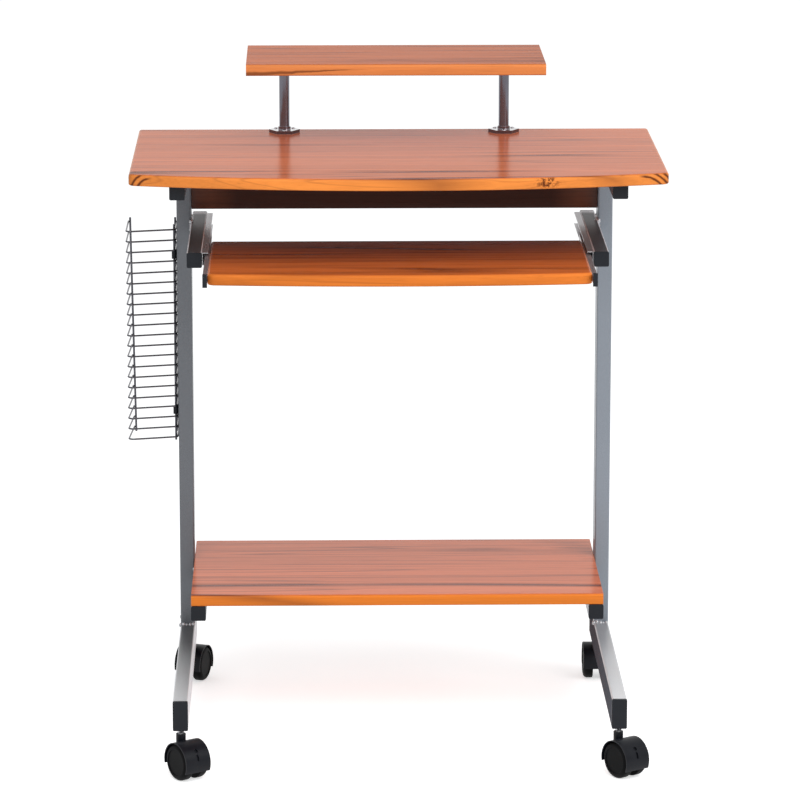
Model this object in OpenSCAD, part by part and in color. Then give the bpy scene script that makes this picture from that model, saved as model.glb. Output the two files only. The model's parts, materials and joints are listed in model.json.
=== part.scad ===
// Rolling computer desk: two welded steel side frames, five wood boards, a keyboard tray on
// ball slides, a wire disc rack on the left leg and four twin-wheel casters.
// X is across the desk, Y runs from the user to the back and Z is up from the floor.

/* [Frame] */
// Width over the outer faces of the two side frames
frame_w = 595; // [560:5:680]
// Length of each foot from front cap to back cap
foot_l = 480; // [450:2:560]
// Height of the foot tube
foot_h = 40; // [30:1:50]
// Width of every tube across the desk
tube_w = 20; // [18:1:25]
// Depth of the upright from front to back
upright_d = 40; // [30:1:50]
// Distance from the front of the foot to the front of the upright
upright_y = 381; // [340:1:390]
// Height of the square arms welded to the uprights
arm_h = 20; // [16:1:25]
// Wall thickness of the tubes
tube_wall = 1.5; // [1:0.1:2]
// Radius of the tubes' outer corners
tube_r = 2; // [1:0.25:3]
// Thickness of the plastic end caps outside the tubes
cap_t = 4; // [2:0.5:6]
// Distance from the front of the foot to the front of the arms under the desktop
desk_arm_y = 88; // [80:1:120]
// Length of the arms under the desktop
desk_arm_l = 352; // [345:1:365]
// Distance from the front of the foot to the front of the tray arms
tray_arm_y = 148; // [140:1:155]
// Length of the arms that carry the tray
tray_arm_l = 316; // [312:1:330]

/* [Boards] */
// Thickness of every board
board_t = 15; // [12:1:18]
// Radius of the rounded top edge of the boards
nose_r = 4; // [2:0.5:5]
// Radius of the rounded bottom edge of the boards
under_r = 2; // [1:0.5:4]
// Width of the desktop
desktop_w = 700; // [660:5:760]
// Depth of the desktop at its middle
desktop_d = 418; // [405:1:440]
// How far the front edge of the desktop bows out past its corners
desktop_bow = 46; // [15:1:60]
// Radius of the front corners of the desktop
desktop_corner = 12; // [10:1:30]
// Height of the top of the desktop
desktop_z = 790; // [760:1:830]
// Distance from the front of the foot to the front of the desktop
desktop_y = 36; // [20:1:45]
// Width of the monitor shelf
shelf_w = 400; // [360:5:520]
// Depth of the monitor shelf
shelf_d = 190; // [175:5:230]
// Distance from the front of the foot to the front of the monitor shelf
shelf_y = 280; // [262:1:290]
// Height of the top of the monitor shelf above the top of the desktop
shelf_rise = 114; // [90:1:160]
// Depth of the bottom shelf
bottom_d = 300; // [270:5:310]
// Distance from the front of the foot to the front of the bottom shelf
bottom_y = 184; // [150:1:190]
// Height of the top of the bottom shelf
bottom_z = 200; // [185:1:300]
// Height of the panel under the desktop
panel_h = 85; // [60:1:90]
// Gap between a board's end and the upright beside it
board_gap = 0.3; // [0.1:0.1:0.5]

/* [Keyboard tray] */
// Depth of the tray at its middle
tray_d = 245; // [220:1:270]
// How far the front edge of the tray bows out past its corners
tray_bow = 13; // [6:1:30]
// Radius of the front corners of the tray
tray_corner = 10; // [10:1:20]
// Distance from the top of the desktop down to the top of the tray
tray_drop = 118; // [115:1:150]
// Width of each slide between the arm and the tray
slide_w = 10; // [9.5:0.5:12]
// Height of the slides
slide_h = 17; // [17:0.5:19]
// Length of the slides
slide_l = 300; // [290:1:303]
// How far the tray is drawn out of its closed place
tray_out = 150; // [120:1:150]

/* [Monitor shelf posts] */
// Diameter of the posts
post_dia = 14; // [10:0.5:16]
// Distance between the posts
post_gap = 300; // [240:5:320]
// Distance from the front of the foot to the posts
post_y = 428; // [410:1:432]
// Width across the corners of the post flanges
flange_w = 42; // [36:1:44]
// Thickness of the post flanges
flange_t = 4.5; // [2.5:0.5:5]
// Height of the collar round the post
collar_h = 4; // [4:0.5:12]

/* [Disc rack] */
// Number of bent wires
rack_wires_n = 21; // [11:1:25]
// Distance between neighbouring wires
rack_pitch = 14.5; // [13:0.5:16]
// Distance from the top of the desktop down to the top wire
rack_drop = 127; // [90:1:150]
// Width of the rack out from the upright
rack_w = 68.5; // [50:0.5:90]
// Depth of the rack along the upright's side
rack_d = 66; // [60:1:100]
// How far the outer front corner stands ahead of the inner one
rack_skew = 17; // [0:1:30]
// Diameter of the bent wires
wire_dia = 2.4; // [2:0.1:3.5]
// Diameter of the rods that the wires are welded to
rod_dia = 3; // [2.5:0.1:4]
// Radius of the bends at the middle of the wire
bend_r = 6; // [3:0.5:8]

/* [Casters] */
// Diameter of the wheels
wheel_dia = 49; // [40:1:50]
// Width of one wheel
wheel_w = 13.5; // [12:0.5:18]
// Thickness of the web between the two wheels
web_t = 10; // [9.5:0.5:12]
// Distance between the stem and the axle
caster_trail = 15; // [10:0.5:18]
// Distance from the floor to the underside of the foot
caster_h = 66; // [62:1:80]
// Diameter of the stem
stem_dia = 7; // [5:0.5:7]
// Diameter of the axle
axle_dia = 6; // [4:0.5:8]
// Distance from each end of the foot to the stem
stem_inset = 18; // [16:0.5:30]
// Rest angle of the two front casters
front_turn = 215; // [0:5:360]
// Rest angle of the left rear caster
rear_left_turn = -20; // [-180:5:180]
// Rest angle of the right rear caster
rear_right_turn = 0; // [-180:5:180]

/* [Hidden] */
$fn = 48;

// Colours as the photograph shows them
wood = "#c8875f";
dark_wood = "#4a2a20";
silver = "#a8adb2";
chrome = "#8f8b90";
black = "#232427";

// Clearances
fit = 0.05; // radial clearance of a shaft in its hole
slip = 0.1; // clearance of a plug in a tube and of a ball in its race
eps = 0.01;

// Steps of the faceted edges of the bowed boards
bow_steps = 48;
corner_steps = 8;
nose_steps = 8;
under_steps = 4;

// Frame, worked out from the sizes above
side_x = frame_w / 2 - tube_w / 2; // centre of the feet, uprights and desktop arms
inner_x = frame_w / 2 - tube_w; // inner face of the upright
arm_x = inner_x - tube_w / 2; // centre of the tray and shelf arms
arm_face_x = inner_x - tube_w; // inner face of the tray arm
foot_top = caster_h + foot_h;
desk_under = desktop_z - board_t;
shelf_z = desktop_z + shelf_rise; // top of the monitor shelf
tray_z = desktop_z - tray_drop; // top of the tray
upright_top = desk_under - arm_h;
upright_mid_y = upright_y + upright_d / 2;
bottom_under = bottom_z - board_t;
shelf_arm_y = bottom_y;
shelf_arm_l = bottom_d;
slide_z = tray_z - board_t / 2; // middle of the tray's edge and of its slides
tray_arm_z = slide_z - arm_h / 2;
plug_l = 6; // how far a cap's plug reaches into its tube
plug_wall = 1.6;
past = 1; // how far a cut runs past the face it opens

// Slides: each cross-section starts at the arm's face and runs towards the tray
rail_t = 1;
race_inset = 1.6; // how far the flange lip drops to hold the balls
ball_r = 1.35;
tray_half = arm_face_x - slide_w;
bumper_y = 3; // front of the rubber stops on the inner rails
bumper_l = 4;
bumper_w = 6;
bumper_plug = 12; // how far a stop reaches into its rail
inner_y = bumper_y + bumper_l; // front of the inner rails in their rest place
outer_y = inner_y + tray_out + 1; // front of the outer rails
ball_z = slide_h / 2 - rail_t - slip - ball_r; // height of the balls above the slide's middle
inner_half = ball_z - ball_r - slip; // half height of the inner rail
ball_in = 4.6; // distance of the balls from the tray's face
race_in = 2; // gap between the outer rail's flanges and the tray
inner_over = 1.5; // how far the inner rail's flanges reach past the balls' middle
ball_u = slide_w - ball_in;
race_u = slide_w - race_in;
inner_u = ball_u - inner_over;
lip_t = 0.7;
cage_u = 2.6;
cage_t = 0.5;
cage_lip = 0.6;
cage_in = 3; // gap between the cage and the tray's face
cage_l = 88;
cage_balls = 5;
ball_step = 18;
cage_mid = (outer_y + inner_y + slide_l) / 2; // middle of the stretch where the two rails overlap
tray_screw_from = 60; // distance from the front of an inner rail to its first screw
tray_screw_step = 130;
tray_screw_ys = [inner_y + tray_screw_from, inner_y + tray_screw_from + tray_screw_step];

// Disc rack
rack_gap = 0.3; // gap between the wires and the upright
rack_inset = 5; // distance from the upright's front to the rack's
rack_face = -frame_w / 2; // outer face of the left upright
rack_z = desktop_z - rack_drop; // top wire
rack_in_x = rack_face - rack_gap - wire_dia / 2; // line of the wires beside the upright
rack_out_x = rack_face - rack_w; // line of the wires' outer front corners
rack_front_y = upright_y + rack_inset; // inner front corner of the wires
rack_back_y = rack_front_y + rack_d;
rack_lean = 5; // how far the outer rod leans in from top to bottom
weld = 0.2; // how deep a wire sinks into a rod at its weld
rod_off = (wire_dia + rod_dia) / 2 - weld;
clip_slots = [2, rack_wires_n - 4]; // the clips sit below these wires
clip_h = 11;
clip_wall = 2;
clip_reach = 13; // distance from the rod to the clip's screw
clip_end = 6; // how far the clip reaches past its screw
rod_over = 6; // how far the rods stand past the top and bottom wires
rod_inset = 3; // distance from the back rods to the ends of the wires
rod_top = rack_z + rod_over;
rod_low = rack_z - (rack_wires_n - 1) * rack_pitch - rod_over;
inner_rod = [rack_in_x - rod_off, rack_front_y + rod_off + bend_r];
bend_slim = 0.02; // the bends are this much thinner than the straights they run into
bend_over = 2; // how many degrees a bend runs into each straight

// Screws
screw_dia = 4;
head_dia = 8;
head_t = 2.5;
small_dia = 3;
small_head = 5.4;
small_head_t = 1.3;
bite = 11; // how far a screw reaches into a board
bore_dia = screw_dia + 2 * fit;
small_bore = small_dia + 2 * fit;
pilot_gap = 0.5; // gap between a screw's tip and the end of its hole
pilot_l = bite + pilot_gap;
tip_l = 5; // how far a screw's tip stands past the last wall it holds
flange_bite = 9; // how far a flange screw reaches into its board
flange_screw_turns = [30, 150, 270];
flange_screw_share = 0.66; // how far out on the flange its screws sit
flange_screw_r = flange_w / 2 * flange_screw_share;
post_seat = 1; // thickness of the flange's floor under the post
collar_wall = 1.5;
collar_dia = post_dia + 2 * collar_wall;

// Casters
wheel_r = wheel_dia / 2;
hood_over = 2; // how far the fender stands out past the wheels
hood_r = wheel_r + hood_over;
hood_t = 1.2;
wheel_gap = 0.6; // gap between a wheel and the web
hood_w = web_t + 2 * (wheel_gap + wheel_w);
stem_drop = 13; // how many degrees the fender runs below the axle on the stem's side
trail_drop = 24; // and on the other side
boss_r = 9;
neck_dia = 13;
neck_rise = 6; // height of the neck's lower end above the axle, inside the web
neck_gap = 8.3; // gap between the neck and the foot
stem_rise = 9.8; // height of the stem's lower end above the axle
neck_low = wheel_r + neck_rise;
neck_top = caster_h - neck_gap;
stem_end = wheel_r + stem_rise;
nut_dia = 12;
nut_t = 6;
stem_collar_h = 7; // height of the collar that narrows from the foot to the neck
stem_collar_low = 8;
wheel_cap = 3; // thickness of a wheel beyond its blind bore
rim_w = 6.5;
rim_round = 6;
tread_round = 1.5;
dish = 1;
hub_wall = 3;
hub_r = axle_dia / 2 + hub_wall;
hub_recess = 4;
mark_turn = 41; // how many degrees above the axle the round mark sits
mark_dia = 6;
mark_depth = 2.5;
slot_turn = 21; // how many degrees above the axle the slot sits
slot_l = 9;
slot_w = 3.5;
groove_w = 1;
groove_depth = 0.5;
stem_ys = [stem_inset, foot_l - stem_inset];

// The origin is the middle of the whole desk's outline on the floor
function reach(turn, way) = caster_trail * cos(turn) * way
    + hood_r * abs(cos(turn)) + hood_w / 2 * abs(sin(turn));
x_low = rack_out_x - wire_dia / 2;
x_high = desktop_w / 2;
y_low = min(stem_ys[0] - reach(front_turn, -1), 0);
y_high = stem_ys[1] + max(reach(rear_left_turn, 1), reach(rear_right_turn, 1));
centre = [(x_low + x_high) / 2, (y_low + y_high) / 2, 0];

module in_frame() translate(-centre) children();

// Shapes that repeat

// A square with round corners, from [0, 0]
module round_square(w, h, r) {
    translate([r, 0]) square([w - 2 * r, h]);
    translate([0, r]) square([w, h - 2 * r]);
    for (x = [r, w - r], y = [r, h - r]) translate([x, y]) circle(r = r);
}

// A hollow tube's cross-section, centred
module tube_section(w, h) {
    translate([-w / 2, -h / 2]) difference() {
        round_square(w, h, tube_r);
        translate([tube_wall, tube_wall])
            round_square(w - 2 * tube_wall, h - 2 * tube_wall, max(tube_r - tube_wall, 0.5));
    }
}

// A tube that runs along Y from y, centred on x and z
module tube_y(x, y, z, l, h) {
    translate([x, y + l, z]) rotate([90, 0, 0]) linear_extrude(l) tube_section(tube_w, h);
}

// A cap and its hollow plug for a tube of height h, with its outer face at y
module end_cap(x, y, z, h, rear) {
    open_w = tube_w - 2 * tube_wall - 2 * slip;
    open_h = h - 2 * tube_wall - 2 * slip;
    translate([x, y, z]) mirror([0, rear ? 1 : 0, 0]) rotate([90, 0, 0]) {
        translate([-tube_w / 2, -h / 2, -cap_t])
            linear_extrude(cap_t) round_square(tube_w, h, tube_r);
        translate([-open_w / 2, -open_h / 2, -cap_t - plug_l]) linear_extrude(plug_l)
            difference() {
                square([open_w, open_h]);
                translate([plug_wall, plug_wall])
                    square([open_w - 2 * plug_wall, open_h - 2 * plug_wall]);
            }
    }
}

module cap_pair(x, y, l, z, h) {
    end_cap(x, y, z, h, false);
    end_cap(x, y + l, z, h, true);
}

// The rounded edge of a board, from x = -depth to its outer face at x = 0
module edge(depth) difference() {
    translate([-depth, 0]) square([depth, board_t]);
    translate([-nose_r, board_t - nose_r]) difference() {
        square(nose_r + past);
        circle(r = nose_r);
    }
    translate([-under_r, under_r]) mirror([0, 1]) difference() {
        square(under_r + past);
        circle(r = under_r);
    }
}

// Points on the outline of a bowed board, inset by t except at its straight back.
// The front edge is at y = 0 in the middle, and the points run to the right.
function bowed_outline(w, d, bow, corner, t) = let (
    half = w / 2,
    bow_r = (half * half + bow * bow) / (2 * bow),
    corner_x = half - corner,
    corner_y = bow_r - sqrt(pow(bow_r - corner, 2) - pow(corner_x, 2)),
    turn = asin(corner_x / (bow_r - corner)),
    corner_turns = [for (i = [1 : corner_steps]) turn + (90 - turn) * i / corner_steps]
) concat(
    [for (i = [0 : bow_steps]) let (a = turn * (2 * i / bow_steps - 1))
        [(bow_r - t) * sin(a), bow_r - (bow_r - t) * cos(a)]],
    [for (a = corner_turns) [corner_x + (corner - t) * sin(a), corner_y - (corner - t) * cos(a)]],
    [[half - t, d], [t - half, d]],
    [for (i = [corner_steps - 1 : -1 : 0]) let (a = corner_turns[i])
        [-corner_x - (corner - t) * sin(a), corner_y - (corner - t) * cos(a)]]
);

// The rounded edge from the underside to the top, as steps of [inset, height]
edge_steps = concat(
    [for (i = [0 : under_steps]) let (a = 90 * i / under_steps)
        [under_r * (1 - sin(a)), under_r * (1 - cos(a))]],
    [for (i = [0 : nose_steps]) let (a = 90 * i / nose_steps)
        [nose_r * (1 - cos(a)), board_t - nose_r * (1 - sin(a))]]
);

// A board with a bowed front, round front corners and a rounded edge on its front and sides
module bowed_board(w, d, bow, corner) {
    layers = [for (e = edge_steps) [for (p = bowed_outline(w, d, bow, corner, e[0]))
        [p[0], p[1], e[1]]]];
    n = len(layers[0]);
    top = len(layers) - 1;
    polyhedron(
        points = [for (layer = layers, p = layer) p],
        faces = concat(
            [[for (i = [0 : n - 1]) i]],
            [[for (i = [n - 1 : -1 : 0]) top * n + i]],
            [for (k = [0 : top - 1], i = [0 : n - 1]) let (j = (i + 1) % n)
                [k * n + i, (k + 1) * n + i, (k + 1) * n + j, k * n + j]]
        )
    );
}

// A square board with a rounded front edge, its front at y = 0 and its underside at z = 0
module plain_board(w, d)
    translate([-w / 2, 0, 0]) rotate([90, 0, 90]) linear_extrude(w) mirror([1, 0]) edge(d);

// A screw with a pan head; the head's underside is at the origin and the shank runs along +Z
module screw(dia, head, head_h, l) {
    translate([0, 0, -head_h]) cylinder(d = head, h = head_h);
    translate([0, 0, -eps]) cylinder(d = dia, h = l + eps);
}

// Frame

desk_screw_inset = 32; // distance from the arm's front to its first screw
desk_screw_gap = 40; // distance from its second screw to the upright
shelf_screw_inset = 30;
panel_bolt_low = 20; // height of the lower bolts above the panel's lower edge
panel_bolt_gap = 8; // distance from the arm down to the upper bolts
rail_screw_inset = 40;
desk_screw_ys = [desk_arm_y + desk_screw_inset, upright_y - desk_screw_gap];
bottom_screw_ys = [shelf_arm_y + shelf_screw_inset, shelf_arm_y + shelf_arm_l - shelf_screw_inset];
panel_bolt_zs = [desk_under - panel_h + panel_bolt_low, desk_under - arm_h - panel_bolt_gap];
arm_screw_ys = [outer_y + rail_screw_inset, outer_y + slide_l - rail_screw_inset];
clip_zs = [for (i = clip_slots) rack_z - (i + 0.5) * rack_pitch];
arm_head_z = desk_under - arm_h; // underside of the arms under the desktop
shelf_head_z = bottom_under - arm_h; // underside of the shelf arms

// Places something that points into the side frame s from its outer face at x
module inward(s, x, y, z) translate([s * x, y, z]) rotate([0, -s * 90, 0]) children();

// Places something that points out towards the side frame s from x
module outward(s, x, y, z) translate([s * x, y, z]) rotate([0, s * 90, 0]) children();

module foot(s) difference() {
    tube_y(s * side_x, cap_t, caster_h + foot_h / 2, foot_l - 2 * cap_t, foot_h);
    for (y = stem_ys) translate([s * side_x, y, caster_h - past])
        cylinder(d = stem_dia + 2 * fit, h = tube_wall + 2 * past);
}

module upright(s) difference() {
    translate([s * side_x, upright_mid_y, foot_top])
        linear_extrude(upright_top - foot_top) tube_section(tube_w, upright_d);
    for (z = panel_bolt_zs) inward(s, frame_w / 2 + past, upright_mid_y, z)
        cylinder(d = bore_dia, h = tube_w + 2 * past);
    if (s < 0) for (z = clip_zs) inward(s, frame_w / 2 + past, inner_rod[1] + clip_reach, z)
        cylinder(d = bore_dia, h = tube_wall + 2 * past);
}

module desk_arm(s) difference() {
    tube_y(s * side_x, desk_arm_y + cap_t, desk_under - arm_h / 2, desk_arm_l - 2 * cap_t, arm_h);
    for (y = desk_screw_ys) translate([s * side_x, y, arm_head_z - past])
        cylinder(d = bore_dia, h = arm_h + 2 * past);
}

module tray_arm(s) difference() {
    tube_y(s * arm_x, tray_arm_y + cap_t, slide_z, tray_arm_l - 2 * cap_t, arm_h);
    for (y = arm_screw_ys) outward(s, arm_face_x - past, y, slide_z)
        cylinder(d = small_bore, h = tube_wall + 2 * past);
}

module shelf_arm(s) difference() {
    tube_y(s * arm_x, shelf_arm_y + cap_t, bottom_under - arm_h / 2,
        shelf_arm_l - 2 * cap_t, arm_h);
    for (y = bottom_screw_ys) translate([s * arm_x, y, shelf_head_z - past])
        cylinder(d = bore_dia, h = arm_h + 2 * past);
}

module left_foot() color(silver) in_frame() foot(-1);
module right_foot() color(silver) in_frame() foot(1);
module left_upright() color(silver) in_frame() upright(-1);
module right_upright() color(silver) in_frame() upright(1);
module left_desk_arm() color(silver) in_frame() desk_arm(-1);
module right_desk_arm() color(silver) in_frame() desk_arm(1);
module left_tray_arm() color(silver) in_frame() tray_arm(-1);
module right_tray_arm() color(silver) in_frame() tray_arm(1);
module left_shelf_arm() color(silver) in_frame() shelf_arm(-1);
module right_shelf_arm() color(silver) in_frame() shelf_arm(1);

module foot_caps() color(black) in_frame() for (s = [-1, 1])
    cap_pair(s * side_x, 0, foot_l, caster_h + foot_h / 2, foot_h);

module desk_arm_caps() color(black) in_frame() for (s = [-1, 1])
    cap_pair(s * side_x, desk_arm_y, desk_arm_l, desk_under - arm_h / 2, arm_h);

module tray_arm_caps() color(black) in_frame() for (s = [-1, 1])
    cap_pair(s * arm_x, tray_arm_y, tray_arm_l, slide_z, arm_h);

module shelf_arm_caps() color(black) in_frame() for (s = [-1, 1])
    cap_pair(s * arm_x, shelf_arm_y, shelf_arm_l, bottom_under - arm_h / 2, arm_h);

// Boards

// Pilot holes for the flange screws, from the face at z into the board
module flange_holes(z, down) {
    for (s = [-1, 1], a = flange_screw_turns)
        translate([s * post_gap / 2, post_y, z]) rotate([0, 0, a]) translate([flange_screw_r, 0, 0])
            mirror([0, 0, down ? 1 : 0]) translate([0, 0, -past])
                cylinder(d = small_bore, h = flange_bite + past + pilot_gap);
}

module desktop() color(wood) in_frame() difference() {
    translate([0, desktop_y, desk_under])
        bowed_board(desktop_w, desktop_d, desktop_bow, desktop_corner);
    for (s = [-1, 1], y = desk_screw_ys) translate([s * side_x, y, desk_under - past])
        cylinder(d = bore_dia, h = pilot_l + past);
    flange_holes(desktop_z, true);
}

module monitor_shelf() color(wood) in_frame() difference() {
    translate([0, shelf_y, shelf_z - board_t]) plain_board(shelf_w, shelf_d);
    flange_holes(shelf_z - board_t, false);
}

module bottom_shelf() color(wood) in_frame() difference() {
    translate([0, bottom_y, bottom_under]) plain_board(2 * (inner_x - board_gap), bottom_d);
    for (s = [-1, 1], y = bottom_screw_ys) translate([s * arm_x, y, bottom_under - past])
        cylinder(d = bore_dia, h = pilot_l + past);
}

module modesty_panel() color(dark_wood) in_frame() difference() {
    translate([-inner_x + board_gap, upright_mid_y - board_t / 2, desk_under - panel_h])
        cube([2 * (inner_x - board_gap), board_t, panel_h]);
    for (s = [-1, 1], z = panel_bolt_zs) inward(s, inner_x + past, upright_mid_y, z)
        cylinder(d = bore_dia, h = 2 * pilot_l + past);
}

module keyboard_tray() color(wood) in_frame() difference() {
    translate([0, 0, tray_z - board_t]) bowed_board(2 * tray_half, tray_d, tray_bow, tray_corner);
    for (s = [-1, 1], y = tray_screw_ys) inward(s, tray_half + past, y, slide_z)
        cylinder(d = small_bore, h = pilot_l + past);
}

// Posts of the monitor shelf

// A six-sided flange that lies on z = 0, with a collar that holds the post
module flange() difference() {
    union() {
        cylinder(d = flange_w, h = flange_t, $fn = 6);
        cylinder(d = collar_dia, h = flange_t + collar_h);
    }
    translate([0, 0, post_seat]) cylinder(d = post_dia + 2 * fit, h = flange_t + collar_h);
    for (a = flange_screw_turns) rotate([0, 0, a]) translate([flange_screw_r, 0, -past])
        cylinder(d = small_bore, h = flange_t + 2 * past);
}

module lower_flange(s) translate([s * post_gap / 2, post_y, desktop_z]) flange();

module upper_flange(s)
    translate([s * post_gap / 2, post_y, shelf_z - board_t]) mirror([0, 0, 1]) flange();

module post(s) translate([s * post_gap / 2, post_y, desktop_z + post_seat]) difference() {
    post_l = shelf_z - board_t - desktop_z - 2 * post_seat;
    cylinder(d = post_dia, h = post_l);
    translate([0, 0, -past]) cylinder(d = post_dia - 2 * tube_wall, h = post_l + 2 * past);
}

module left_post() color(chrome) in_frame() post(-1);
module right_post() color(chrome) in_frame() post(1);
module left_lower_flange() color(chrome) in_frame() lower_flange(-1);
module right_lower_flange() color(chrome) in_frame() lower_flange(1);
module left_upper_flange() color(chrome) in_frame() upper_flange(-1);
module right_upper_flange() color(chrome) in_frame() upper_flange(1);

// Slides; each cross-section is drawn in [distance from the arm's face, height]

module along_slide(s, y, l) {
    translate([s * arm_face_x, y + l, slide_z]) mirror([s > 0 ? 1 : 0, 0, 0])
        rotate([90, 0, 0]) linear_extrude(l) children();
}

// The outer rail: its cavity holds the balls behind a lip, and its mouth opens to the tray
module outer_section() difference() {
    translate([0, -slide_h / 2]) square([race_u, slide_h]);
    translate([rail_t, rail_t - slide_h / 2])
        square([race_u - lip_t - rail_t, slide_h - 2 * rail_t]);
    translate([rail_t, race_inset - slide_h / 2]) square([race_u, slide_h - 2 * race_inset]);
}

// The inner rail: a channel that opens to the arm
module inner_section() difference() {
    translate([inner_u, -inner_half]) square([slide_w - inner_u, 2 * inner_half]);
    translate([inner_u - past, rail_t - inner_half])
        square([slide_w - inner_u - rail_t + past, 2 * (inner_half - rail_t)]);
}

module cage_section() {
    translate([cage_u, -ball_z - cage_lip / 2]) square([cage_t, 2 * ball_z + cage_lip]);
    for (v = [-1, 1]) translate([cage_u, v * ball_z - cage_lip / 2])
        square([slide_w - cage_in - cage_u, cage_lip]);
}

module outer_rail(s) difference() {
    along_slide(s, outer_y, slide_l) outer_section();
    for (y = arm_screw_ys) outward(s, arm_face_x - rail_t - past, y, slide_z)
        cylinder(d = small_bore, h = rail_t + 2 * past);
}

module inner_rail(s) difference() {
    along_slide(s, inner_y, slide_l) inner_section();
    for (y = tray_screw_ys) outward(s, tray_half - past, y, slide_z)
        cylinder(d = small_bore, h = rail_t + 2 * past);
}

// Places a ball or its hole at each ball of a cage
module at_balls(s) {
    for (i = [0 : cage_balls - 1], v = [-1, 1])
        translate([s * (arm_face_x - ball_u), cage_mid + (i - (cage_balls - 1) / 2) * ball_step,
            slide_z + v * ball_z]) children();
}

module ball_cage(s) {
    difference() {
        along_slide(s, cage_mid - cage_l / 2, cage_l) cage_section();
        at_balls(s) cylinder(r = ball_r + fit, h = 2 * ball_r - slip, center = true);
    }
    at_balls(s) sphere(r = ball_r);
}

module left_outer_rail() color(silver) in_frame() outer_rail(-1);
module right_outer_rail() color(silver) in_frame() outer_rail(1);
module left_inner_rail() color(silver) in_frame() inner_rail(-1);
module right_inner_rail() color(silver) in_frame() inner_rail(1);
module left_ball_cage() color(silver) in_frame() ball_cage(-1);
module right_ball_cage() color(silver) in_frame() ball_cage(1);

// Rubber stops with a plug that grips inside the channel of each inner rail
module rail_bumpers() color(black) in_frame() for (s = [0, 1]) mirror([s, 0, 0]) {
    translate([tray_half, bumper_y, slide_z - slide_h / 2]) cube([bumper_w, bumper_l, slide_h]);
    translate([tray_half + rail_t + slip, inner_y - eps, slide_z - inner_half + rail_t + slip])
        cube([bumper_w - rail_t - 2 * slip, bumper_plug, 2 * (inner_half - rail_t - slip)]);
}

// Disc rack

// A round wire from a to b
module wire(a, b, dia) {
    d = b - a;
    l = norm(d);
    translate(a) rotate([0, acos(d[2] / l), atan2(d[1], d[0])]) cylinder(d = dia, h = l);
}

function toward(a, b) = (b - a) / norm(b - a);

// Half the angle at p between the ways to a and to b
function half_angle(a, p, b) = acos(toward(p, a) * toward(p, b)) / 2;

// A bend of the wire round the corner p on its way from a to b
module bend(a, p, b) {
    h = half_angle(a, p, b);
    mid = toward(p, a) + toward(p, b);
    in = mid / norm(mid);
    start = atan2(-in[1], -in[0]) - (90 - h) - bend_over;
    translate(p + in * bend_r / sin(h)) rotate([0, 0, start])
        rotate_extrude(angle = 180 - 2 * h + 2 * bend_over)
            translate([bend_r, 0]) circle(d = wire_dia - bend_slim);
}

// Where the straight stops short of the corner p on its way to b
function short_of(a, p, b, way) = p + toward(p, way) * bend_r / tan(half_angle(a, p, b));

// How far the outer end of wire i leans in
function lean_at(i) = rack_lean * i / (rack_wires_n - 1);

module rack_wire(i) {
    z = rack_z - i * rack_pitch;
    inner_end = [rack_in_x, rack_back_y, z];
    inner_corner = [rack_in_x, rack_front_y, z];
    outer_corner = [rack_out_x, rack_front_y - rack_skew, z];
    outer_end = [rack_out_x + lean_at(i), rack_back_y, z];
    wire(inner_end, short_of(inner_end, inner_corner, outer_corner, inner_end), wire_dia);
    bend(inner_end, inner_corner, outer_corner);
    wire(short_of(inner_end, inner_corner, outer_corner, outer_corner),
        short_of(inner_corner, outer_corner, outer_end, inner_corner), wire_dia);
    bend(inner_corner, outer_corner, outer_end);
    wire(short_of(inner_corner, outer_corner, outer_end, outer_end), outer_end, wire_dia);
}

module rack_wires() color(chrome) in_frame() for (i = [0 : rack_wires_n - 1]) rack_wire(i);

module rack_rods() color(chrome) in_frame() {
    back_y = rack_back_y - rod_inset;
    outer_x = rack_out_x + rod_off;
    wire([inner_rod[0], inner_rod[1], rod_low], [inner_rod[0], inner_rod[1], rod_top], rod_dia);
    wire([inner_rod[0], back_y, rod_low], [inner_rod[0], back_y, rod_top], rod_dia);
    wire([outer_x + rack_lean, back_y, rod_low], [outer_x, back_y, rod_top], rod_dia);
}

// Clips that wrap round the inner rod and lie flat on the upright
module rack_clips() color(black) in_frame() for (z = clip_zs) difference() {
    translate([0, 0, z - clip_h / 2]) linear_extrude(clip_h) intersection() {
        union() {
            translate(inner_rod) circle(d = rod_dia + 2 * clip_wall);
            translate([rack_face - clip_wall, inner_rod[1]])
                square([clip_wall, clip_reach + clip_end]);
        }
        translate([rack_face - rack_w, rack_front_y - rack_d]) square([rack_w, 2 * rack_d]);
    }
    translate([inner_rod[0], inner_rod[1], z])
        cylinder(d = rod_dia + 2 * fit, h = 2 * clip_h, center = true);
    inward(-1, frame_w / 2 + clip_wall + past, inner_rod[1] + clip_reach, z)
        cylinder(d = bore_dia, h = clip_wall + 2 * past);
}

module rack_clip_screws() color(chrome) in_frame() for (z = clip_zs)
    inward(-1, frame_w / 2 + clip_wall, inner_rod[1] + clip_reach, z)
        screw(screw_dia, head_dia, head_t, clip_wall + tube_wall + tip_l);

// Fasteners

module desktop_screws() color(chrome) in_frame() for (s = [-1, 1], y = desk_screw_ys)
    translate([s * side_x, y, arm_head_z]) screw(screw_dia, head_dia, head_t, arm_h + bite);

module bottom_shelf_screws() color(chrome) in_frame() for (s = [-1, 1], y = bottom_screw_ys)
    translate([s * arm_x, y, shelf_head_z]) screw(screw_dia, head_dia, head_t, arm_h + bite);

module panel_bolts() color(chrome) in_frame() for (s = [-1, 1], z = panel_bolt_zs)
    inward(s, frame_w / 2, upright_mid_y, z)
        screw(screw_dia, head_dia, head_t, tube_w + 2 * bite);

module flange_screws() color(chrome) in_frame()
    for (s = [-1, 1], a = flange_screw_turns, up = [0, 1])
        translate([s * post_gap / 2, post_y,
            up > 0 ? desktop_z + flange_t : shelf_z - board_t - flange_t])
            rotate([0, 0, a]) translate([flange_screw_r, 0, 0]) mirror([0, 0, up])
                screw(small_dia, small_head, small_head_t, flange_t + flange_bite);

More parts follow.
